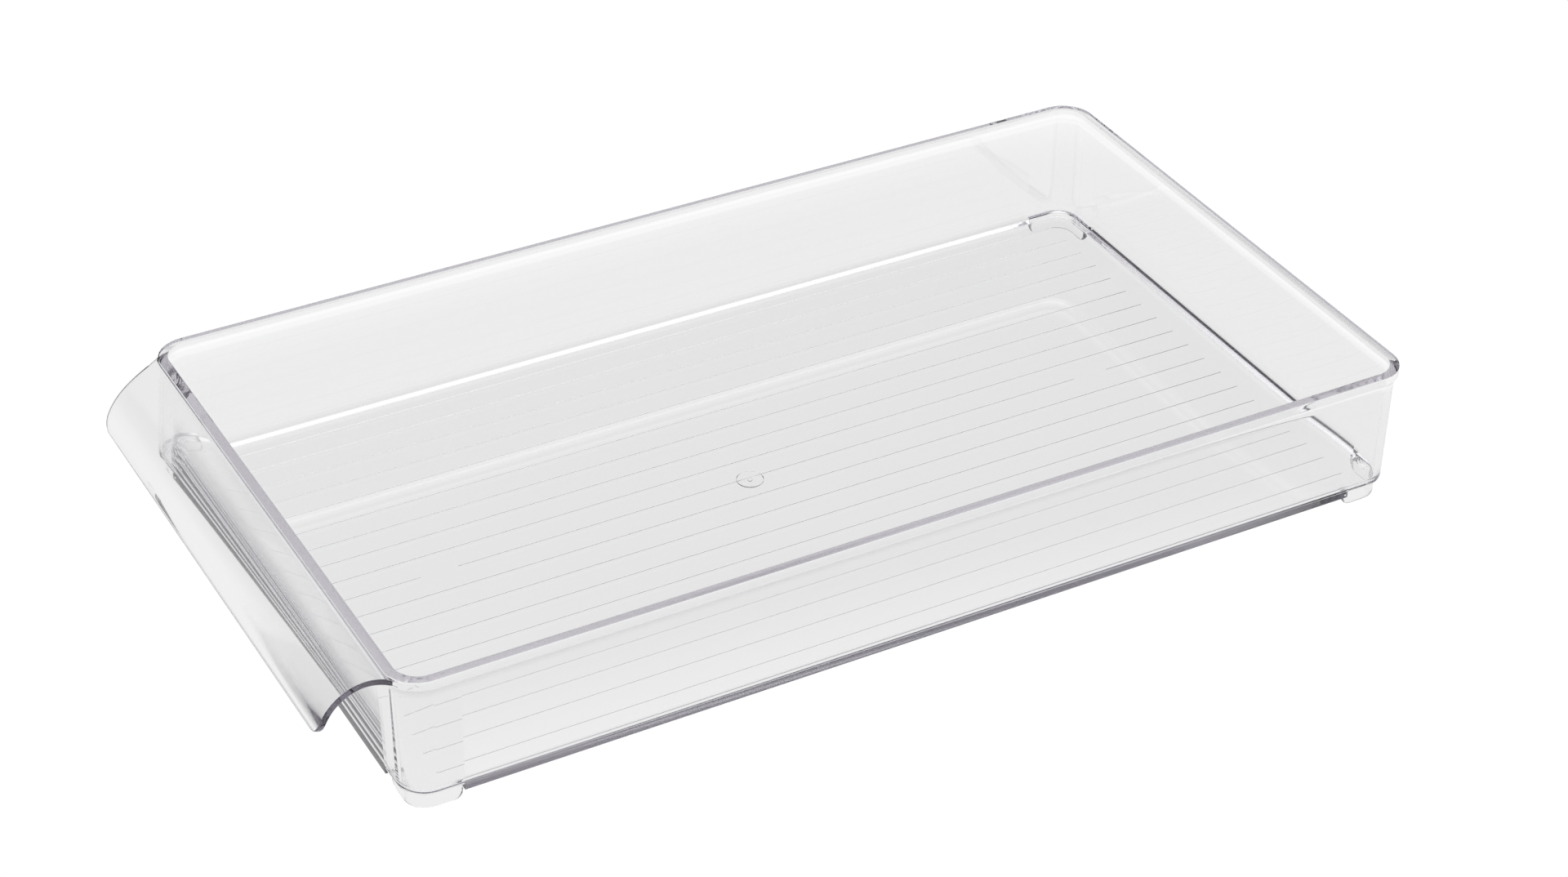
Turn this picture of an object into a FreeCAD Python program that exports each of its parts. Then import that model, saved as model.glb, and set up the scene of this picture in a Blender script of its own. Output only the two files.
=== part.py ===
import FreeCAD, Part
import math
import os

# Letter tray: a shallow clear tray, moulded in one shot from transparent plastic.
# Each named part below is one feature of that moulding; neighbours meet face to face.
# Frame: X runs along the tray with the pull lip at -X, Y across it, Z up. The origin is on
# the surface that the feet stand on, under the middle of the whole length, lip included.
# The shapes are drawn about the centre of the rim and moved to the origin on export.

# ---- driving dimensions, mm ----
rim_length = 350.0          # over the rim, without the pull lip
rim_width = 200.0
total_height = 49.0         # feet to top of rim
rim_corner_radius = 11.0    # outer vertical corner, at the rim
rim_height = 3.0            # height of the bead round the top
rim_projection = 1.1        # how far the bead stands out from the wall
flare_height = 3.5          # below the bead, over which the wall widens to meet it
flare_step = 0.15           # left between the top of the flare and the face of the bead
wall_thickness = 2.0
wall_draft = 0.9            # degrees, the walls lean in towards the floor
floor_thickness = 1.6
floor_fillet = 2.7          # inside, between the floor and the walls
foot_height = 4.6           # feet, below the underside of the floor
foot_inset = 1.8            # outer face of a foot, in from the foot of the wall
foot_wall = 2.0
foot_leg = 17.5             # reach of a foot along each side, from the foot of the wall
foot_end_radius = 3.0       # lower corner at each end of a foot
corner_step = 2.2           # the corners stop this far above the underside, over the feet
lip_below_rim = 0.7         # top of the lip at its root, below the top of the rim
lip_thickness = 2.0
lip_radius = 21.3           # upper surface of the curl
lip_angle = 70.0            # degrees that the curl turns through
lip_edge = 2.5              # straight stretch after the curl
lip_setback = 9.4           # side of the lip where its root flare ends, in from the rim's side
lip_root_flare = 4.4        # how much wider each side is where it meets the rim
lip_flare_reach = 6.0       # how far out of the rim the flare runs
lip_flare_bow = 0.36        # where the middle of the flare's arc lies, as a share of both
lip_side_taper = 8.0        # degrees, each side draws in towards the free edge
lip_corner_radius = 8.0     # free corners, seen from the front
rib_pitch = 9.78
rib_width = 0.5
rib_height = 0.12
rib_side_gap = 7.0          # least distance from the inside of a side wall to the first rib
rib_end_gap = 11.0          # from the inside of an end wall to the rib ends
ejector_radius = 6.5        # round ejector pads that the middle rib stops at
ejector_from_end = 40.0     # centre of a pad, in from the rib ends
gate_diameter = 9.0         # injection point, under the middle of the whole moulding
gate_height = 0.5
gate_nub_diameter = 1.6
gate_nub_height = 0.4

# ---- levels and half sizes worked out from them ----
half_length = rim_length / 2
half_width = rim_width / 2
underside = foot_height
floor_top = underside + floor_thickness
step_level = underside + corner_step
rim_bottom = total_height - rim_height
flare_bottom = rim_bottom - flare_height
draft_per_mm = math.tan(math.radians(wall_draft))
corner_x = half_length - rim_corner_radius      # centres of the corner radii
corner_y = half_width - rim_corner_radius
base_inset = rim_projection + (rim_bottom - underside) * draft_per_mm
floor_inset = base_inset + wall_thickness + floor_fillet    # edge of the flat of the floor
foot_outside = base_inset + foot_inset
foot_end_x = half_length - base_inset - foot_leg
foot_end_y = half_width - base_inset - foot_leg
lip_half_width = half_width - lip_setback
lip_turn = math.radians(lip_angle)
lip_reach = ((lip_radius - lip_thickness / 2) * math.sin(lip_turn)
             + lip_edge * math.cos(lip_turn) + lip_thickness / 2)
rib_end_x = half_length - base_inset - wall_thickness - rib_end_gap
rib_side_y = half_width - base_inset - wall_thickness - rib_side_gap
ribs_each_side = int(rib_side_y / rib_pitch)
beyond = 60.0               # overshoot of cutting blocks past the tray
near = 0.01                 # closer than this counts as the same place


def outer_inset(z):
    """How far the outside of the wall lies inside the rim's outline at height z."""
    return rim_projection + (rim_bottom - z) * draft_per_mm


def outline(inset, z):
    """Rounded rectangle, offset inwards from the rim's outline, as a wire at height z."""
    a, b, r = half_length - inset, half_width - inset, rim_corner_radius - inset
    s = r * math.sqrt(0.5)
    edges = []
    for sx, sy in ((1, 1), (-1, 1), (-1, -1), (1, -1)):
        centre = FreeCAD.Vector(sx * corner_x, sy * corner_y, z)
        on_x = FreeCAD.Vector(sx * a, sy * corner_y, z)
        on_y = FreeCAD.Vector(sx * corner_x, sy * b, z)
        middle = centre + FreeCAD.Vector(sx * s, sy * s, 0)
        start, end = (on_x, on_y) if sx * sy > 0 else (on_y, on_x)
        if edges:
            edges.append(Part.LineSegment(last, start).toShape())
        else:
            first = start
        edges.append(Part.Arc(start, middle, end).toShape())
        last = end
    edges.append(Part.LineSegment(last, first).toShape())
    return Part.Wire(edges)


def prism(inset, z0, z1):
    """Straight-sided rounded block."""
    return Part.Face(outline(inset, z0)).extrude(FreeCAD.Vector(0, 0, z1 - z0))


def drafted(thickness, z0, z1):
    """Rounded block that follows the wall's outside, or its inside with thickness set."""
    wires = [outline(outer_inset(z) + thickness, z) for z in (z0, z1)]
    return Part.makeLoft(wires, True, True)


def block(x0, x1, y0, y1, z0, z1):
    return Part.makeBox(x1 - x0, y1 - y0, z1 - z0, FreeCAD.Vector(x0, y0, z0))


def export(node, shape):
    shape = shape.removeSplitter()
    shape.translate(FreeCAD.Vector(lip_reach / 2, 0, 0))
    shape.exportStep("parts/" + node + ".step")
    print(node, len(shape.Solids), "solid(s)", round(shape.Volume, 1), "mm3", shape.isValid())


def make_body():
    """Floor and walls in one, from the underside to the rim, with the flare under the bead."""
    outside = drafted(0, underside, rim_bottom)
    low = outline(outer_inset(flare_bottom), flare_bottom)
    high = outline(flare_step, rim_bottom)
    outside = outside.fuse(Part.makeLoft([low, high], True, True))
    hollow = drafted(wall_thickness, floor_top, rim_bottom)
    foot_of_walls = [edge for edge in hollow.Edges if edge.BoundBox.ZMax < floor_top + near]
    return outside.cut(hollow.makeFillet(floor_fillet, foot_of_walls))


def make_rim():
    return prism(0, rim_bottom, total_height).cut(drafted(wall_thickness, rim_bottom, total_height))


def wall_sections(shell):
    """The walls and the corners, cut apart above the ends of the feet."""
    tall = (underside, rim_bottom)
    parts = {
        "front_wall": shell.common(block(-half_length, 0, -foot_end_y, foot_end_y, *tall)),
        "rear_wall": shell.common(block(0, half_length, -foot_end_y, foot_end_y, *tall)),
        "left_wall": shell.common(block(-foot_end_x, foot_end_x, 0, half_width, *tall)),
        "right_wall": shell.common(block(-foot_end_x, foot_end_x, -half_width, 0, *tall)),
    }
    step = prism(0, underside, step_level).cut(prism(foot_outside, underside, step_level))
    for name, sx, sy in corners():
        x0, x1 = sorted((sx * foot_end_x, sx * half_length))
        y0, y1 = sorted((sy * foot_end_y, sy * half_width))
        parts["corner_" + name] = shell.common(block(x0, x1, y0, y1, *tall)).cut(step)
    return parts


def corners():
    return (("front_left", -1, 1), ("front_right", -1, -1), ("rear_left", 1, 1), ("rear_right", 1, -1))


def make_foot(sx, sy):
    """A thin wall round the corner, with its two lower end corners rounded off."""
    ring = prism(foot_outside, 0, underside).cut(prism(foot_outside + foot_wall, 0, underside))
    x0, x1 = sorted((sx * foot_end_x, sx * half_length))
    y0, y1 = sorted((sy * foot_end_y, sy * half_width))
    foot = ring.common(block(x0, x1, y0, y1, 0, underside))
    ends = []
    for edge in foot.Edges:
        box = edge.BoundBox
        low = box.ZMax < near
        at_x = abs(box.XMin - sx * foot_end_x) < near and box.XLength < near
        at_y = abs(box.YMin - sy * foot_end_y) < near and box.YLength < near
        if low and (at_x or at_y):
            ends.append(edge)
    return foot.makeFillet(foot_end_radius, ends)


def lip_section():
    """The curl's section in the XZ plane, as a face at y = 0."""
    root_x = -corner_x
    curl_x = -half_length
    top = total_height - lip_below_rim
    centre_z = top - lip_radius

    def on_arc(radius, angle):
        return FreeCAD.Vector(curl_x - radius * math.sin(angle), 0, centre_z + radius * math.cos(angle))

    down = FreeCAD.Vector(-math.cos(lip_turn), 0, -math.sin(lip_turn)) * lip_edge
    inner = lip_radius - lip_thickness
    upper_end, lower_end = on_arc(lip_radius, lip_turn), on_arc(inner, lip_turn)
    tip_out, tip_in = upper_end + down, lower_end + down
    tip_middle = (tip_out + tip_in) * 0.5 + down.normalize() * (lip_thickness / 2)
    upper_root = FreeCAD.Vector(root_x, 0, top)
    lower_root = FreeCAD.Vector(root_x, 0, top - lip_thickness)
    edges = [
        Part.LineSegment(upper_root, on_arc(lip_radius, 0)).toShape(),
        Part.Arc(on_arc(lip_radius, 0), on_arc(lip_radius, lip_turn / 2), upper_end).toShape(),
        Part.LineSegment(upper_end, tip_out).toShape(),
        Part.Arc(tip_out, tip_middle, tip_in).toShape(),
        Part.LineSegment(tip_in, lower_end).toShape(),
        Part.Arc(lower_end, on_arc(inner, lip_turn / 2), on_arc(inner, 0)).toShape(),
        Part.LineSegment(on_arc(inner, 0), lower_root).toShape(),
        Part.LineSegment(lower_root, upper_root).toShape(),
    ]
    return Part.Face(Part.Wire(edges))


def lip_plan():
    """The lip seen from above: flared where it meets the rim, then tapering outwards."""
    taper = math.tan(math.radians(lip_side_taper))
    root_y = lip_half_width + lip_root_flare
    flare_x = -half_length - lip_flare_reach
    far_x = -half_length - beyond
    far_y = lip_half_width - (flare_x - far_x) * taper
    flare_end = FreeCAD.Vector(flare_x, lip_half_width, 0)
    flare_start = FreeCAD.Vector(-half_length, root_y, 0)
    bow_x = lip_flare_reach * lip_flare_bow
    bow_y = lip_root_flare * lip_flare_bow
    flare_middle = FreeCAD.Vector(-half_length - bow_x, lip_half_width + bow_y, 0)
    inside = FreeCAD.Vector(-corner_x, root_y, 0)
    far = FreeCAD.Vector(far_x, far_y, 0)

    def mirrored(point):
        return FreeCAD.Vector(point.x, -point.y, 0)

    edges = [
        Part.LineSegment(inside, flare_start).toShape(),
        Part.Arc(flare_start, flare_middle, flare_end).toShape(),
        Part.LineSegment(flare_end, far).toShape(),
        Part.LineSegment(far, mirrored(far)).toShape(),
        Part.LineSegment(mirrored(far), mirrored(flare_end)).toShape(),
        Part.Arc(mirrored(flare_end), mirrored(flare_middle), mirrored(flare_start)).toShape(),
        Part.LineSegment(mirrored(flare_start), mirrored(inside)).toShape(),
        Part.LineSegment(mirrored(inside), inside).toShape(),
    ]
    return Part.Face(Part.Wire(edges)).extrude(FreeCAD.Vector(0, 0, total_height))


def lip_front(section):
    """The lip seen from the front: a block whose two lower corners are rounded."""
    box = section.BoundBox
    taper = math.tan(math.radians(lip_side_taper))
    side = lip_half_width - (-half_length - lip_flare_reach - box.XMin) * taper
    reach = half_width
    front = block(-half_length - beyond, -corner_x, -reach, reach, box.ZMin, total_height)
    for sy in (1, -1):
        y0, y1 = sorted((sy * (side - lip_corner_radius), sy * reach))
        z_mid = box.ZMin + lip_corner_radius
        notch = block(box.XMin, -half_length, y0, y1, box.ZMin, z_mid)
        rod = Part.makeCylinder(
            lip_corner_radius, half_length + beyond,
            FreeCAD.Vector(-half_length - beyond, sy * (side - lip_corner_radius), z_mid),
            FreeCAD.Vector(1, 0, 0))
        front = front.cut(notch.cut(rod))
    return front


def make_lip():
    section = lip_section()
    sheet = section.extrude(FreeCAD.Vector(0, rim_width, 0))
    sheet.translate(FreeCAD.Vector(0, -half_width, 0))
    sheet = sheet.common(lip_plan()).common(lip_front(section))
    return sheet.cut(prism(0, 0, total_height))


def make_ribs():
    """Fine ribs along the floor; the middle one stops at the ejector pads."""
    top = floor_top + rib_height
    ribs = []
    for number in range(-ribs_each_side, ribs_each_side + 1):
        y = number * rib_pitch
        rib = block(-rib_end_x, rib_end_x, y - rib_width / 2, y + rib_width / 2, floor_top, top)
        for sx in (1, -1):
            centre = FreeCAD.Vector(sx * (rib_end_x - ejector_from_end), 0, floor_top)
            rib = rib.cut(Part.makeCylinder(ejector_radius, rib_height, centre))
        ribs.extend(rib.Solids)
    return Part.makeCompound(ribs)


def make_gate():
    """Round pad under the floor with the trimmed stub of the sprue."""
    place = FreeCAD.Vector(-lip_reach / 2, 0, underside - gate_height)
    pad = Part.makeCylinder(gate_diameter / 2, gate_height, place)
    nub_place = place - FreeCAD.Vector(0, 0, gate_nub_height)
    return pad.fuse(Part.makeCylinder(gate_nub_diameter / 2, gate_nub_height, nub_place))


def main():
    os.makedirs("parts", exist_ok=True)
    body = make_body()
    middle = prism(floor_inset, underside, floor_top)
    export("floor_panel", body.common(middle))
    for node, shape in wall_sections(body.cut(middle)).items():
        export(node, shape)
    export("rim", make_rim())
    export("handle_lip", make_lip())
    for name, sx, sy in corners():
        export("foot_" + name, make_foot(sx, sy))
    export("floor_ribs", make_ribs())
    export("gate_mark", make_gate())


main()
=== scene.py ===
import math

import bmesh
import bpy
from mathutils import Matrix, Vector


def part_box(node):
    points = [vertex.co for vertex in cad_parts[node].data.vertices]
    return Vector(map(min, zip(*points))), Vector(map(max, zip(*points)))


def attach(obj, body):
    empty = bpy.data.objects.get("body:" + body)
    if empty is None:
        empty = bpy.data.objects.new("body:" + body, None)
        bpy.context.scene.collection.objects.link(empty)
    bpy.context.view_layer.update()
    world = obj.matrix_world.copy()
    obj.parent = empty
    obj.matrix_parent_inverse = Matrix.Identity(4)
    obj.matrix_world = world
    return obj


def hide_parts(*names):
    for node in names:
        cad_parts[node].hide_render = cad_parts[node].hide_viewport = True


# A clear moulded tray. The shapes are drawn in millimetres round the centre of the rim, as
# sections (inset from the rim's outline, height) carried round the outline, and put in metres
# in the frame when each mesh is made. Where two pieces of the moulding meet, both carry the
# same hidden joint face, so that light passes from one to the other as in one piece.

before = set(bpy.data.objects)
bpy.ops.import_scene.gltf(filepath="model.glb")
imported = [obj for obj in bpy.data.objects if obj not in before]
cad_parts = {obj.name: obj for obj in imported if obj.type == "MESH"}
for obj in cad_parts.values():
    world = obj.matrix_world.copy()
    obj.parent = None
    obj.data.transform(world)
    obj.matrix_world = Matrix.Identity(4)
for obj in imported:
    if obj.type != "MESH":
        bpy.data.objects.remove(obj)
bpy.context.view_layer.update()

MM_PER_M = 1000


# ---- sizes from the frame, mm ----
def box(node):
    low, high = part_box(node)
    return low * MM_PER_M, high * MM_PER_M


rim_low, rim_high = box("rim")
wall_high = box("right_wall")[1]
floor_low, floor_high = box("floor_panel")
foot_low, foot_high = box("foot_front_left")
rib_low, rib_high = box("floor_ribs")
gate_low, gate_high = box("gate_mark")

centre_x = (rim_low.x + rim_high.x) / 2
half_length = (rim_high.x - rim_low.x) / 2
half_width = (rim_high.y - rim_low.y) / 2
top = rim_high.z
rim_bottom = rim_low.z
floor_top = floor_high.z
floor_bottom = floor_low.z
foot_bottom = foot_low.z
joint_inset = half_width - floor_high.y     # where the floor meets the walls' fillets
foot_inset = half_width - foot_high.y
foot_end = wall_high.x - centre_x           # the feet begin where the side walls end
foot_end_y = foot_low.y
rib_start = rib_low.x - centre_x
rib_end = rib_high.x - centre_x
rib_top = rib_high.z
gate_x = (gate_low.x + gate_high.x) / 2 - centre_x
gate_radius = (gate_high.x - gate_low.x) / 2

# ---- sizes of the moulding that the boxes don't give, mm ----
corner_radius = 11.0        # of the rim's outline
wall_top_inset = 1.1        # outside of the wall under the rim's bead
wall_draft = math.tan(math.radians(0.9))
wall_thickness = 2.0
flare_height = 3.5          # the outside widens below the bead
flare_inset = 0.06          # where it reaches the bead
floor_fillet = 2.7
foot_inner = foot_inset + 2.0
foot_end_radius = 3.0
foot_edge = 0.8             # rounding of the feet's lower edges
step_level = floor_bottom + 2.2     # the corners' outside stops here, over the feet
bottom_edge = 0.3           # rounding of the walls' lower edges
rim_edge = 0.15             # rounding of the rim's upper edges
bead_edge = 0.05            # and of the edge under its outside
lip_drop = 0.7              # top of the lip below the top of the rim
lip_thickness = 2.0
lip_radius = 21.3           # of its upper face
lip_turn = math.radians(70)
lip_straight = 2.7          # the flat stretch after the bend, up to the free edge
lip_edge = 0.5
lip_root_half = 95.0        # half its width where it meets the rim, just round the corner
lip_far_half = 87.7         # what the half width tends to away from the rim
lip_flare_length = 7.0      # how fast it gets there
lip_corner = 4.8
rib_count = 19
rib_width = 0.5
rib_edge = 0.1
rib_pitch = (rib_high.y - rib_low.y - rib_width) / (rib_count - 1)
pad_radius = 6.5            # ejector pads, left free by the middle rib
pad_from_end = 40.0
gate_height = 0.5
gate_edge = 0.15
stub_radius = 0.8           # stub left by the gate under the pad
stub_height = 0.4
stub_edge = 0.1

corner_x = half_length - corner_radius
corner_y = half_width - corner_radius
lip_middle_radius = lip_radius - lip_thickness / 2
lip_root_angle = math.asin((lip_root_half - corner_y) / corner_radius)
lip_root_depth = corner_radius * (1 - math.cos(lip_root_angle))

# ---- how finely the curves are divided ----
EDGE_STEPS = 5
RIB_EDGE_STEPS = 3
FLARE_STEPS = 8
CORNER_STEPS = 28
CORNER_EASING = 0.9         # 0 divides a corner evenly, towards 1 more finely near its ends
FLOOR_CORNER_STEPS = 12
FOOT_END_STEPS = 8
GATE_STEPS = 48
LIP_ROOT_STEPS = 10
LIP_START_STEPS = 4
LIP_SIDE_STEPS = 40
LIP_CORNER_STEPS = 16

QUARTER = math.pi / 2
CORNERS = {
    "front_left": (-1, 1),
    "front_right": (-1, -1),
    "rear_left": (1, 1),
    "rear_right": (1, -1),
}


def wall_outside(z):
    return wall_top_inset + (rim_bottom - z) * wall_draft


def flare():
    """The widening under the bead as corners of a section, from the wall up."""
    corners = []
    for step in range(FLARE_STEPS + 1):
        part = step / FLARE_STEPS
        z = rim_bottom - flare_height * (1 - part)
        inset = wall_outside(z) - (wall_top_inset - flare_inset) * part ** 2
        corners.append((inset, z, 0, step == FLARE_STEPS))
    return corners


# ---- sections and outlines ----
def arc_points(start, end, centre, steps):
    """Points from start to end round centre, both included, the short way."""
    first = math.atan2(start.y - centre.y, start.x - centre.x)
    last = math.atan2(end.y - centre.y, end.x - centre.x)
    turn = (last - first + math.pi) % (2 * math.pi) - math.pi
    radius = (start - centre).length
    for step in range(steps + 1):
        angle = first + turn * step / steps
        yield Vector((centre.x + radius * math.cos(angle), centre.y + radius * math.sin(angle)))


def section(*corners):
    """A closed section. Each corner is (inset, height, edge radius, joint), where joint says
    that the edge after it meets a neighbour. Returns its points, and a flag for the edge
    after each of them."""
    points, joints = [], []
    for number, (inset, height, radius, joint) in enumerate(corners):
        here = Vector((inset, height))
        back = (Vector(corners[number - 1][:2]) - here).normalized()
        ahead = (Vector(corners[(number + 1) % len(corners)][:2]) - here).normalized()
        if radius == 0:
            points.append(here)
            joints.append(joint)
            continue
        half = back.angle(ahead) / 2
        reach = radius / math.tan(half)
        centre = here + (back + ahead).normalized() * (radius / math.sin(half))
        points += arc_points(here + back * reach, here + ahead * reach, centre, EDGE_STEPS)
        joints += [False] * EDGE_STEPS + [joint]
    return points, joints


def corner_arc(sx, sy, start=0.0, end=QUARTER, steps=CORNER_STEPS):
    """Stations round one corner of the rim's outline, counter-clockwise seen from above. A
    station is a point of the outline and the inward direction there."""
    first = math.atan2(sy, sx) - QUARTER / 2 + start
    stations = []
    for step in range(steps + 1):
        part = step / steps
        eased = part - CORNER_EASING * math.sin(2 * math.pi * part) / (2 * math.pi)
        angle = first + eased * (end - start)
        out_x, out_y = math.cos(angle), math.sin(angle)
        x = sx * corner_x + corner_radius * out_x
        y = sy * corner_y + corner_radius * out_y
        stations.append((x, y, -out_x, -out_y))
    return stations


def corner_ends(sx, sy, away=0.0):
    """The stations before and after a corner's arc, this far past the ends of the walls."""
    on_side = (sx * (foot_end + away), sy * half_width, 0, -sy)
    on_end = (sx * half_length, sy * (foot_end_y + away), -sx, 0)
    return (on_end, on_side) if sx * sy > 0 else (on_side, on_end)


# ---- meshes ----
MERGE_DISTANCE = 1e-7           # m
SHARP_ANGLE = math.radians(32)


def make_piece(name, verts, faces, joints):
    """A closed mesh from points in mm round the rim's centre, which stands for the CAD node of
    that name. joints marks the faces that meet a neighbour."""
    mesh = bpy.data.meshes.new(name)
    placed = [Vector((x + centre_x, y, z)) / MM_PER_M for x, y, z in verts]
    mesh.from_pydata(placed, [], faces)
    for polygon, joint in zip(mesh.polygons, joints):
        polygon.material_index = 1 if joint else 0
    form = bmesh.new()
    form.from_mesh(mesh)
    bmesh.ops.remove_doubles(form, verts=form.verts, dist=MERGE_DISTANCE)
    bmesh.ops.recalc_face_normals(form, faces=form.faces)
    for face in form.faces:
        face.smooth = True
    form.to_mesh(mesh)
    form.free()
    mesh.set_sharp_from_angle(angle=SHARP_ANGLE)
    mesh.materials.append(plastic)
    mesh.materials.append(joint_face)
    piece = bpy.data.objects.new(name, mesh)
    bpy.context.scene.collection.objects.link(piece)
    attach(piece, "root")
    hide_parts(name)


def swept(stations, profiles, joints, closed=False):
    """Faces of a section carried along stations. profiles holds one list of (inset, height) for
    each station. The face of edge k after station i is number i * len(joints) + k."""
    count = len(joints)
    verts = []
    for (x, y, inward_x, inward_y), profile in zip(stations, profiles):
        verts += [(x + inward_x * p.x, y + inward_y * p.x, p.y) for p in profile]
    faces, flags = [], []
    spans = len(stations) if closed else len(stations) - 1
    for i in range(spans):
        here = i * count
        there = (i + 1) % len(stations) * count
        for k in range(count):
            after = (k + 1) % count
            faces.append((here + k, there + k, there + after, here + after))
        flags += joints
    return verts, faces, flags


def ends(stations, count):
    """The two end faces of a mesh swept along stations, with count points in its section."""
    last = (len(stations) - 1) * count
    return [tuple(range(count)), tuple(range(last, last + count))]


def nearest(points, inset, height):
    """Number of the section's point that lies nearest (inset, height)."""
    target = Vector((inset, height))
    return min(range(len(points)), key=lambda k: (points[k] - target).length)


def stretch(points, first, last):
    """Numbers of the section's points from first on to last, going round."""
    numbers = [first]
    while numbers[-1] != last:
        numbers.append((numbers[-1] + 1) % len(points))
    return numbers


# ---- the shell ----
def shell_section(*lower):
    """Section of a wall or corner. It starts at the inside of the top and goes down the inside.
    lower holds its corners from the floor's edge outwards, up to the foot of the outside."""
    return section(
        (wall_top_inset + wall_thickness, rim_bottom, 0, False),
        (wall_outside(floor_top) + wall_thickness, floor_top, floor_fillet, False),
        (joint_inset, floor_top, 0, True),
        (joint_inset, floor_bottom, 0, False),
        *lower,
        *flare(),
    )


def make_wall(name, start, end, inward):
    points, joints = shell_section(
        (foot_inset, floor_bottom, 0, False),
        (wall_outside(floor_bottom), floor_bottom, bottom_edge, False),
        (wall_outside(step_level), step_level, 0, False),
    )
    stations = [(*start, *inward), (*end, *inward)]
    verts, faces, flags = swept(stations, [points] * 2, joints)
    # each end meets the corner, except where the corner is stepped in over its foot
    foot = nearest(points, foot_inset, floor_bottom)
    step = nearest(points, wall_outside(step_level), step_level)
    for number, (x, y, inward_x, inward_y) in enumerate(stations):
        verts.append((x + inward_x * foot_inset, y + inward_y * foot_inset, step_level))
        inner = len(verts) - 1
        for first, last, joint in ((foot, step, False), (step, foot, True)):
            edge = [number * len(points) + k for k in stretch(points, first, last)]
            faces.append((*edge, inner))
            flags.append(joint)
    make_piece(name, verts, faces, flags)


def make_corner(name, sx, sy):
    points, joints = shell_section(
        (foot_inner, floor_bottom, 0, True),
        (foot_inset, floor_bottom, 0, False),
        (foot_inset, step_level, 0, False),
        (wall_outside(step_level), step_level, bottom_edge, False),
    )
    before, after = corner_ends(sx, sy)
    stations = [before, *corner_arc(sx, sy), after]
    verts, faces, flags = swept(stations, [points] * len(stations), joints)
    faces += ends(stations, len(points))
    flags += [True, True]
    make_piece(name, verts, faces, flags)


def make_rim():
    inside_top = wall_top_inset + wall_thickness
    lip_top = top - lip_drop
    lip_bottom = lip_top - lip_thickness
    points, joints = section(
        (inside_top, top, rim_edge, False),
        (inside_top, rim_bottom, 0, True),
        (flare_inset, rim_bottom, 0, False),
        (0, rim_bottom, bead_edge, False),
        (0, lip_bottom, 0, False),
        (0, lip_top, 0, False),
        (0, top, rim_edge, False),
    )
    lip_start = QUARTER - lip_root_angle
    stations = corner_arc(1, 1) + corner_arc(-1, 1, 0, lip_start)
    first = len(stations) - 1
    stations += corner_arc(-1, 1, lip_start, QUARTER, LIP_ROOT_STEPS)[1:]
    stations += corner_arc(-1, -1, 0, lip_root_angle, LIP_ROOT_STEPS)
    last = len(stations) - 1
    stations += corner_arc(-1, -1, lip_root_angle, QUARTER)[1:] + corner_arc(1, -1)
    verts, faces, flags = swept(stations, [points] * len(stations), joints, closed=True)
    lip_edge_number = nearest(points, 0, lip_bottom)
    for station in range(first, last):
        flags[station * len(points) + lip_edge_number] = True
    make_piece("rim", verts, faces, flags)


def make_foot(name, sx, sy):
    """A wall round the corner whose lower edge rises in an arc at each end."""
    before, after, end_lifts = [], [], []
    for step in range(FOOT_END_STEPS + 1):
        angle = step / FOOT_END_STEPS * QUARTER
        first, last = corner_ends(sx, sy, foot_end_radius * (1 - math.cos(angle)))
        before.append(first)
        after.insert(0, last)
        end_lifts.append(foot_end_radius * (1 - math.sin(angle)))
    arc = corner_arc(sx, sy)
    stations = before + arc + after
    profiles = []
    for lift in end_lifts + [0] * len(arc) + end_lifts[::-1]:
        points, joints = section(
            (foot_inner, floor_bottom, 0, True),
            (foot_inset, floor_bottom, 0, False),
            (foot_inset, foot_bottom + lift, foot_edge, False),
            (foot_inner, foot_bottom + lift, foot_edge, False),
        )
        profiles.append(points)
    verts, faces, flags = swept(stations, profiles, joints)
    faces += ends(stations, len(joints))
    flags += [False, False]
    make_piece(name, verts, faces, flags)


# ---- the floor ----
def floor_outline():
    """The floor's outline, counter-clockwise: the points round each corner in turn."""
    radius = corner_radius - joint_inset
    outline = []
    for sx, sy in ((1, 1), (-1, 1), (-1, -1), (1, -1)):
        first = math.atan2(sy, sx) - QUARTER / 2
        for step in range(FLOOR_CORNER_STEPS + 1):
            angle = first + step / FLOOR_CORNER_STEPS * QUARTER
            x = sx * corner_x + radius * math.cos(angle)
            y = sy * corner_y + radius * math.sin(angle)
            outline.append((x, y))
    return outline


def rib_rows():
    """(middle, list of (start, end)) of each rib; the middle one stops at the ejector pads."""
    rows = []
    for number in range(rib_count):
        y = (number - (rib_count - 1) / 2) * rib_pitch
        spans = [(rib_start, rib_end)]
        if number == rib_count // 2:
            near = rib_end - pad_from_end - pad_radius
            far = rib_end - pad_from_end + pad_radius
            spans = [(rib_start, -far), (-near, near), (far, rib_end)]
        rows.append((y, spans))
    return rows


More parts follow.
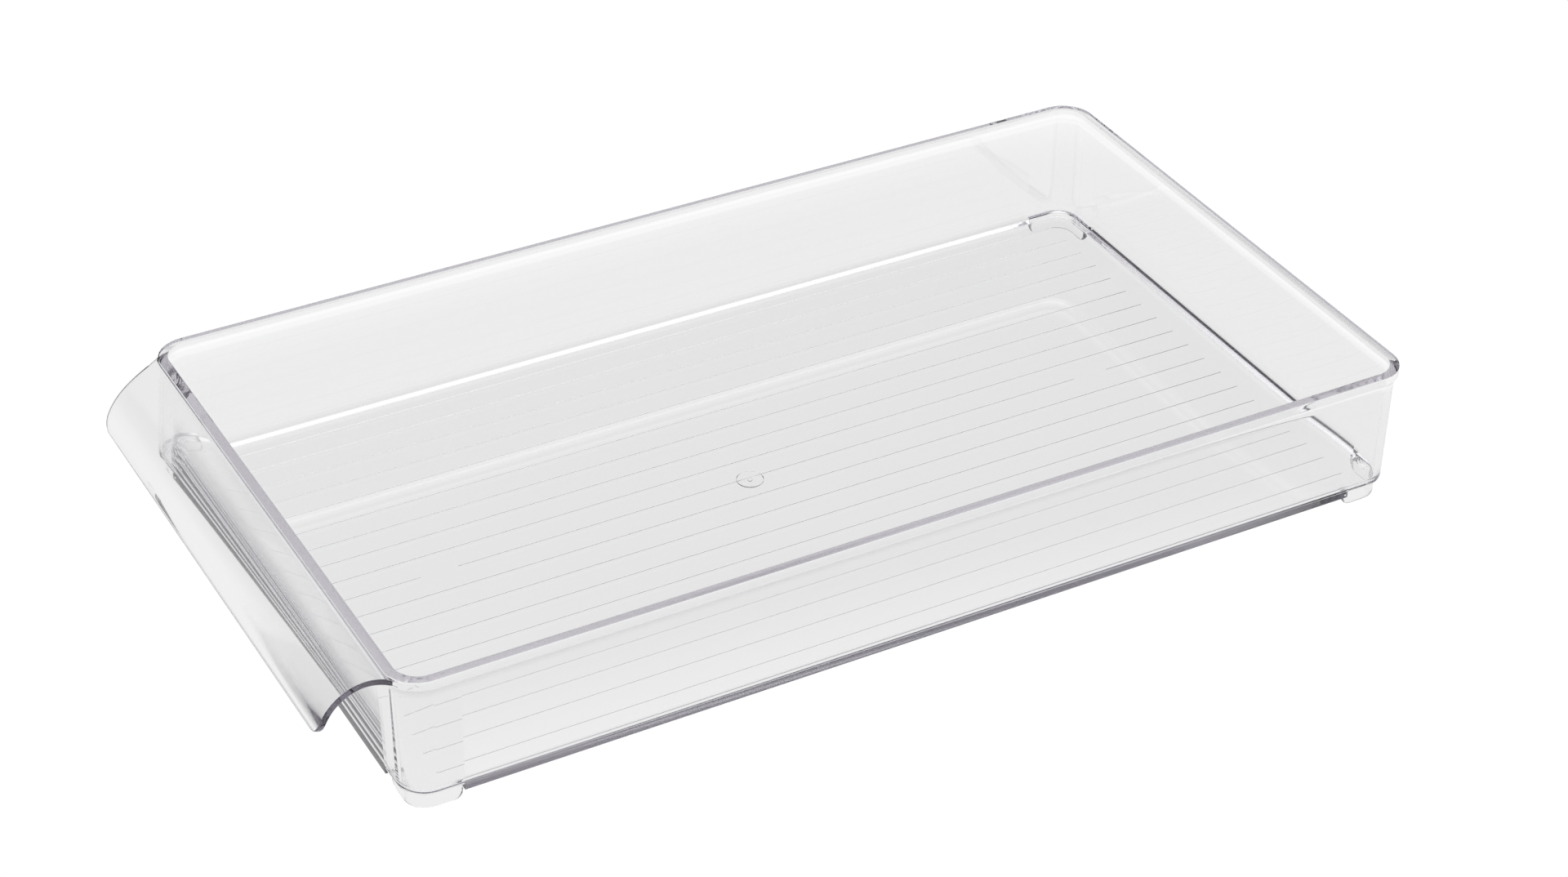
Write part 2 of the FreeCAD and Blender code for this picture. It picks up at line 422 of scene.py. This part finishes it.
def make_floor():
    verts, faces, flags = [], [], []

    def add(x, y, z):
        verts.append((x, y, z))
        return len(verts) - 1

    outline = floor_outline()
    count = len(outline)
    low = [add(x, y, floor_bottom) for x, y in outline]
    high = [add(x, y, floor_top) for x, y in outline]
    for i in range(count):
        after = (i + 1) % count
        faces.append((low[i], low[after], high[after], high[i]))
        flags.append(True)

    def fill(edge, inner_sides):
        """Four faces between the floor's edge and what lies inside it, parted at the middles
        of the corners. inner_sides goes counter-clockwise from the first corner too."""
        per_corner = count // 4
        for quarter, inner in enumerate(inner_sides):
            first = quarter * per_corner + per_corner // 2
            outer = [edge[(first + k) % count] for k in range(per_corner + 1)]
            faces.append((*outer, *reversed(inner)))
            flags.append(False)

    # the underside, round the gate mark
    ring = []
    for k in range(GATE_STEPS):
        angle = 2 * math.pi * k / GATE_STEPS
        x = gate_x + gate_radius * math.cos(angle)
        ring.append(add(x, gate_radius * math.sin(angle), floor_bottom))
    faces.append(tuple(ring))
    flags.append(True)
    arcs = []
    for quarter in range(4):
        first = GATE_STEPS // 8 + quarter * GATE_STEPS // 4
        arcs.append([ring[(first + k) % GATE_STEPS] for k in range(GATE_STEPS // 4 + 1)])
    fill(low, arcs)

    # the top, with the ribs' places as joints
    rows = rib_rows()
    xs = sorted({x for _, spans in rows for span in spans for x in span})
    ys = [y + side * rib_width / 2 for y, _ in rows for side in (-1, 1)]
    grid = [[add(x, y, floor_top) for x in xs] for y in ys]
    for r in range(len(ys) - 1):
        for c in range(len(xs) - 1):
            faces.append((grid[r][c], grid[r][c + 1], grid[r + 1][c + 1], grid[r + 1][c]))
            middle = (xs[c] + xs[c + 1]) / 2
            spans = rows[r // 2][1] if r % 2 == 0 else []
            flags.append(any(start < middle < end for start, end in spans))
    left_end = [row[0] for row in grid]
    right_end = [row[-1] for row in grid]
    fill(high, [grid[-1][::-1], left_end[::-1], grid[0], right_end])
    make_piece("floor_panel", verts, faces, flags)


def rib_section():
    """Points (y, z) of a rib's section, from the two at the floor up and over."""
    half = rib_width / 2
    arc = []
    for step in range(RIB_EDGE_STEPS + 1):
        angle = step / RIB_EDGE_STEPS * QUARTER
        y = half - rib_edge + rib_edge * math.cos(angle)
        arc.append((y, rib_top - rib_edge + rib_edge * math.sin(angle)))
    return [(-half, floor_top), (half, floor_top), *arc, *((-y, z) for y, z in reversed(arc))]


def make_ribs():
    verts, faces, flags = [], [], []
    shape = rib_section()
    count = len(shape)
    for middle, spans in rib_rows():
        for start, end in spans:
            base = len(verts)
            for x in (start, end):
                verts += [(x, middle + y, z) for y, z in shape]
            for k in range(count):
                after = (k + 1) % count
                faces.append((base + k, base + after, base + count + after, base + count + k))
                flags.append(k == 0)
            faces.append(tuple(range(base, base + count)))
            faces.append(tuple(range(base + count, base + 2 * count)))
            flags += [False, False]
    make_piece("floor_ribs", verts, faces, flags)


def make_gate():
    """A turned shape about the vertical: pad and stub."""
    bottom = floor_bottom - gate_height
    outline = [
        (gate_radius, floor_bottom),
        (gate_radius, bottom + gate_edge),
        (gate_radius - gate_edge, bottom),
        (stub_radius, bottom),
        (stub_radius, bottom - stub_height + stub_edge),
        (stub_radius - stub_edge, bottom - stub_height),
    ]
    count = len(outline)
    verts, faces, flags = [], [], []
    for step in range(GATE_STEPS):
        angle = 2 * math.pi * step / GATE_STEPS
        verts += [(gate_x + r * math.cos(angle), r * math.sin(angle), z) for r, z in outline]
        here = step * count
        there = (step + 1) % GATE_STEPS * count
        for k in range(count - 1):
            faces.append((here + k, there + k, there + k + 1, here + k + 1))
            flags.append(False)
    faces.append(tuple(range(0, GATE_STEPS * count, count)))
    flags.append(True)
    faces.append(tuple(range(count - 1, GATE_STEPS * count, count)))
    flags.append(False)
    make_piece("gate_mark", verts, faces, flags)


# ---- the pull lip ----
def lip_place(s, t):
    """Point of the bent sheet in the (x, z) plane: s along it from the rim, t across it from
    the middle of its thickness, outwards."""
    centre_z = top - lip_drop - lip_radius
    angle = min(max(s, 0) / lip_middle_radius, lip_turn)
    beyond = s - angle * lip_middle_radius
    radius = lip_middle_radius + t
    x = -half_length - radius * math.sin(angle) - beyond * math.cos(angle)
    z = centre_z + radius * math.cos(angle) - beyond * math.sin(angle)
    return x, z


def lip_half(s):
    """Half the lip's width at s."""
    reach = -half_length - lip_place(s, 0)[0] + lip_root_depth
    return lip_far_half + (lip_root_half - lip_far_half) * math.exp(-reach / lip_flare_length)


def lip_side():
    """The side's outline as (s, y), from the rim to the free edge, with its inward normals."""
    length = lip_middle_radius * lip_turn + lip_straight
    corner_start = length - lip_corner
    corner_half = lip_half(corner_start)
    side = []
    for k in range(LIP_START_STEPS + 1):
        s = -lip_root_depth * (1 - k / LIP_START_STEPS)
        side.append(Vector((s, lip_half(s))))
    for k in range(1, LIP_SIDE_STEPS + 1):
        s = corner_start * k / LIP_SIDE_STEPS
        side.append(Vector((s, lip_half(s))))
    for k in range(1, LIP_CORNER_STEPS + 1):
        angle = k / LIP_CORNER_STEPS * QUARTER
        s = corner_start + lip_corner * math.sin(angle)
        side.append(Vector((s, corner_half - lip_corner * (1 - math.cos(angle)))))
    normals = []
    for k in range(len(side)):
        along = (side[min(k + 1, len(side) - 1)] - side[max(k - 1, 0)]).normalized()
        normals.append(Vector((along.y, -along.x)))
    normals[0] = Vector((math.sin(lip_root_angle), -math.cos(lip_root_angle)))
    normals[-1] = Vector((-1, 0))
    return side, normals


def lip_edge_ring():
    """Points (inset, t) of the lip's rounded edge, from its upper face to its lower one."""
    half = lip_thickness / 2
    upper = []
    for k in range(EDGE_STEPS + 1):
        angle = k / EDGE_STEPS * QUARTER
        inset = lip_edge * (1 - math.sin(angle))
        upper.append((inset, half - lip_edge + lip_edge * math.cos(angle)))
    return upper + [(inset, -t) for inset, t in reversed(upper)]


def make_lip():
    side, normals = lip_side()
    ring = lip_edge_ring()
    count, rows = len(ring), len(side)
    verts, faces = [], []
    for sy in (1, -1):
        for point, normal in zip(side, normals):
            for inset, t in ring:
                x, z = lip_place(point.x + normal.x * inset, t)
                verts.append((x, sy * (point.y + normal.y * inset), z))
    mirror = rows * count       # from a point's number to that of its mirror image
    past_root = next(k for k, point in enumerate(side) if point.x >= 0)
    for row in range(rows - 1):
        for k in range(count - 1):
            here = row * count + k
            there = here + count
            faces.append((here, there, there + 1, here + 1))
            faces.append((mirror + here, mirror + here + 1, mirror + there + 1, mirror + there))
        if row >= past_root:
            for k in (0, count - 1):
                here = row * count + k
                there = here + count
                faces.append((here, there, mirror + there, mirror + here))
    last = (rows - 1) * count
    for k in range(last, last + count - 1):
        faces.append((k, k + 1, mirror + k + 1, mirror + k))

    # the root follows the rim's outline round its corners
    turns = [lip_root_angle * k / LIP_ROOT_STEPS for k in range(LIP_ROOT_STEPS - 1, -1, -1)]
    root = []
    for sy, side_turns in ((1, turns), (-1, turns[::-1])):
        for turn in side_turns:
            s = -corner_radius * (1 - math.cos(turn))
            root.append((s, sy * (corner_y + corner_radius * math.sin(turn))))
    root_edges = []
    for k, t in ((0, lip_thickness / 2), (count - 1, -lip_thickness / 2)):
        edge = []
        for s, y in root:
            x, z = lip_place(s, t)
            edge.append(len(verts))
            verts.append((x, y, z))
        root_edges.append(edge)
        near = [row * count + k for row in range(past_root, -1, -1)]
        far = [mirror + number for number in reversed(near)]
        faces.append((*near, *edge, *far))
    flags = [False] * len(faces)
    upper, lower = root_edges
    for k in range(len(root) - 1):
        faces.append((upper[k], upper[k + 1], lower[k + 1], lower[k]))
    faces.append((*range(count), lower[0], upper[0]))
    faces.append((*range(mirror, mirror + count), lower[-1], upper[-1]))
    flags += [True] * (len(faces) - len(flags))
    make_piece("handle_lip", verts, faces, flags)


# ---- materials ----
REFRACTION = 1.55
ROUGHNESS = 0.03
ABSORPTION = {"Red": 8.8, "Green": 9.3, "Blue": 8.0}    # per metre of plastic


def new_material(name):
    """A material with only its output node, and that material's nodes, links and surface."""
    material = bpy.data.materials.new(name)
    material.use_nodes = True
    nodes, links = material.node_tree.nodes, material.node_tree.links
    nodes.clear()
    return material, nodes, links, nodes.new("ShaderNodeOutputMaterial").inputs["Surface"]


def make_clear_plastic():
    material, nodes, links, surface = new_material("clear_plastic")
    glass = nodes.new("ShaderNodeBsdfGlass")
    glass.distribution = "GGX"
    glass.inputs["IOR"].default_value = REFRACTION
    glass.inputs["Roughness"].default_value = ROUGHNESS
    # light is taken up over every stretch that it runs inside
    path = nodes.new("ShaderNodeLightPath")
    geometry = nodes.new("ShaderNodeNewGeometry")
    inside = nodes.new("ShaderNodeMath")
    inside.operation = "MULTIPLY"
    links.new(path.outputs["Ray Length"], inside.inputs[0])
    links.new(geometry.outputs["Backfacing"], inside.inputs[1])
    colour = nodes.new("ShaderNodeCombineColor")
    for channel, per_metre in ABSORPTION.items():
        kept = nodes.new("ShaderNodeMath")
        kept.operation = "POWER"
        kept.inputs[0].default_value = math.exp(-per_metre)
        links.new(inside.outputs[0], kept.inputs[1])
        links.new(kept.outputs[0], colour.inputs[channel])
    links.new(colour.outputs["Color"], glass.inputs["Color"])
    links.new(glass.outputs["BSDF"], surface)
    return material


def make_joint_face():
    material, nodes, links, surface = new_material("joint_face")
    through = nodes.new("ShaderNodeBsdfTransparent")
    links.new(through.outputs["BSDF"], surface)
    return material


plastic = make_clear_plastic()
joint_face = make_joint_face()

make_floor()
make_ribs()
make_gate()
make_rim()
make_lip()
make_wall("left_wall", (foot_end, half_width), (-foot_end, half_width), (0, -1))
make_wall("front_wall", (-half_length, foot_end_y), (-half_length, -foot_end_y), (1, 0))
make_wall("right_wall", (-foot_end, -half_width), (foot_end, -half_width), (0, 1))
make_wall("rear_wall", (half_length, -foot_end_y), (half_length, foot_end_y), (-1, 0))
for place, (sx, sy) in CORNERS.items():
    make_corner("corner_" + place, sx, sy)
    make_foot("foot_" + place, sx, sy)


# ---- studio ----
PAPER_REACH = 20.0              # half the paper's side, m
PAPER_DROP = 0.0002             # how far it lies under the feet, m
PAPER_SEEN = 1.02               # its brightness where the camera sees it directly
PAPER_SHADED = 0.87             # and for all other light: near the tray,
PAPER_OPEN = 1.0                # and away from it
SHADOW_EDGES = (0.035, 0.11)    # distances from the tray, m, between which the two blend
OVERHEAD = 1.3                  # brightness straight above

# light from around, red, green and blue, by the sine of the angle above the horizon
SKY = (
    (0.0, (1.0, 1.0, 1.0)),
    (0.35, (0.3, 0.3, 0.32)),
    (0.6, (0.35, 0.35, 0.35)),
    (0.72, (OVERHEAD, OVERHEAD, OVERHEAD)),
)

CAMERA_LENS = 80.08             # mm
CAMERA_SENSOR = 36.0            # mm
CAMERA_REACH = (0.01, 100)      # nearest and farthest that it sees, m
CAMERA_DISTANCE = 1.15204       # m
CAMERA_AZIMUTH = math.radians(28.975)
CAMERA_ELEVATION = math.radians(34.312)
CAMERA_ROLL = math.radians(0.647)
CAMERA_AIM = Vector((0.011038, 0.016406, 0.0046))       # from below the rim's centre, m

LIGHT_BOUNCES = 160             # enough for light that runs along inside a wall
JOINTS_CROSSED = 64             # joint faces on the way of one ray


def distance_from_tray(nodes, links):
    """Socket with the distance in m, along the paper, from the box round the rim."""
    coords = nodes.new("ShaderNodeTexCoord")
    place = coords.outputs["Object"]
    for operation, vector in (
        ("SUBTRACT", (centre_x / MM_PER_M, 0, 0)),
        ("ABSOLUTE", None),
        ("SUBTRACT", (half_length / MM_PER_M, half_width / MM_PER_M, 0)),
        ("MAXIMUM", (0, 0, 0)),
        ("LENGTH", None),
    ):
        step = nodes.new("ShaderNodeVectorMath")
        step.operation = operation
        links.new(place, step.inputs[0])
        if vector:
            step.inputs[1].default_value = vector
        place = step.outputs["Value" if operation == "LENGTH" else "Vector"]
    return place


def make_paper():
    """White paper that glows, less so near the tray, as if in the tray's own soft shadow."""
    material, nodes, links, surface = new_material("white_sweep")
    shade = nodes.new("ShaderNodeMapRange")
    shade.interpolation_type = "SMOOTHSTEP"
    shade.inputs["From Min"].default_value = SHADOW_EDGES[0]
    shade.inputs["From Max"].default_value = SHADOW_EDGES[1]
    shade.inputs["To Min"].default_value = PAPER_SHADED
    shade.inputs["To Max"].default_value = PAPER_OPEN
    links.new(distance_from_tray(nodes, links), shade.inputs["Value"])
    indirect = nodes.new("ShaderNodeEmission")
    links.new(shade.outputs["Result"], indirect.inputs["Strength"])
    direct = nodes.new("ShaderNodeEmission")
    direct.inputs["Strength"].default_value = PAPER_SEEN
    path = nodes.new("ShaderNodeLightPath")
    mix = nodes.new("ShaderNodeMixShader")
    links.new(path.outputs["Is Camera Ray"], mix.inputs[0])
    links.new(indirect.outputs["Emission"], mix.inputs[1])
    links.new(direct.outputs["Emission"], mix.inputs[2])
    links.new(mix.outputs[0], surface)
    return material


def make_stage():
    mesh = bpy.data.meshes.new("studio_floor")
    square = [(PAPER_REACH * x, PAPER_REACH * y, 0) for x, y in ((-1, -1), (1, -1), (1, 1), (-1, 1))]
    mesh.from_pydata(square, [], [(0, 1, 2, 3)])
    mesh.materials.append(make_paper())
    floor = bpy.data.objects.new("studio_floor", mesh)
    floor.location.z = -PAPER_DROP
    bpy.context.scene.collection.objects.link(floor)


def make_world():
    world = bpy.data.worlds.new("studio")
    bpy.context.scene.world = world
    world.use_nodes = True
    nodes, links = world.node_tree.nodes, world.node_tree.links
    nodes.clear()
    out = nodes.new("ShaderNodeOutputWorld")
    back = nodes.new("ShaderNodeBackground")
    coords = nodes.new("ShaderNodeTexCoord")
    split = nodes.new("ShaderNodeSeparateXYZ")
    ramp = nodes.new("ShaderNodeValToRGB")
    links.new(coords.outputs["Generated"], split.inputs[0])
    links.new(split.outputs["Z"], ramp.inputs["Fac"])
    stops = ramp.color_ramp.elements
    stops.remove(stops[1])
    stops[0].position = SKY[0][0]
    stops[0].color = (*SKY[0][1], 1)
    for height, colour in SKY[1:]:
        stops.new(height).color = (*colour, 1)
    links.new(ramp.outputs["Color"], back.inputs["Color"])
    links.new(back.outputs["Background"], out.inputs["Surface"])


def make_camera():
    camera = bpy.data.cameras.new("camera")
    camera.lens = CAMERA_LENS
    camera.sensor_width = CAMERA_SENSOR
    camera.clip_start, camera.clip_end = CAMERA_REACH
    holder = bpy.data.objects.new("camera", camera)
    bpy.context.scene.collection.objects.link(holder)
    back = Vector((
        -math.sin(CAMERA_AZIMUTH) * math.cos(CAMERA_ELEVATION),
        -math.cos(CAMERA_AZIMUTH) * math.cos(CAMERA_ELEVATION),
        math.sin(CAMERA_ELEVATION),
    ))
    right = (-back).cross(Vector((0, 0, 1))).normalized()
    up = right.cross(-back)
    local_x = math.cos(CAMERA_ROLL) * right + math.sin(CAMERA_ROLL) * up
    local_y = -math.sin(CAMERA_ROLL) * right + math.cos(CAMERA_ROLL) * up
    place = Vector((centre_x / MM_PER_M, 0, 0)) + CAMERA_AIM + back * CAMERA_DISTANCE
    turn = Matrix((local_x, local_y, back)).transposed()
    holder.matrix_world = Matrix.Translation(place) @ turn.to_4x4()
    bpy.context.scene.camera = holder


make_stage()
make_world()
make_camera()
scene = bpy.context.scene
scene.view_settings.view_transform = "Standard"
scene.cycles.max_bounces = LIGHT_BOUNCES
scene.cycles.transmission_bounces = LIGHT_BOUNCES
scene.cycles.glossy_bounces = LIGHT_BOUNCES
scene.cycles.transparent_max_bounces = JOINTS_CROSSED
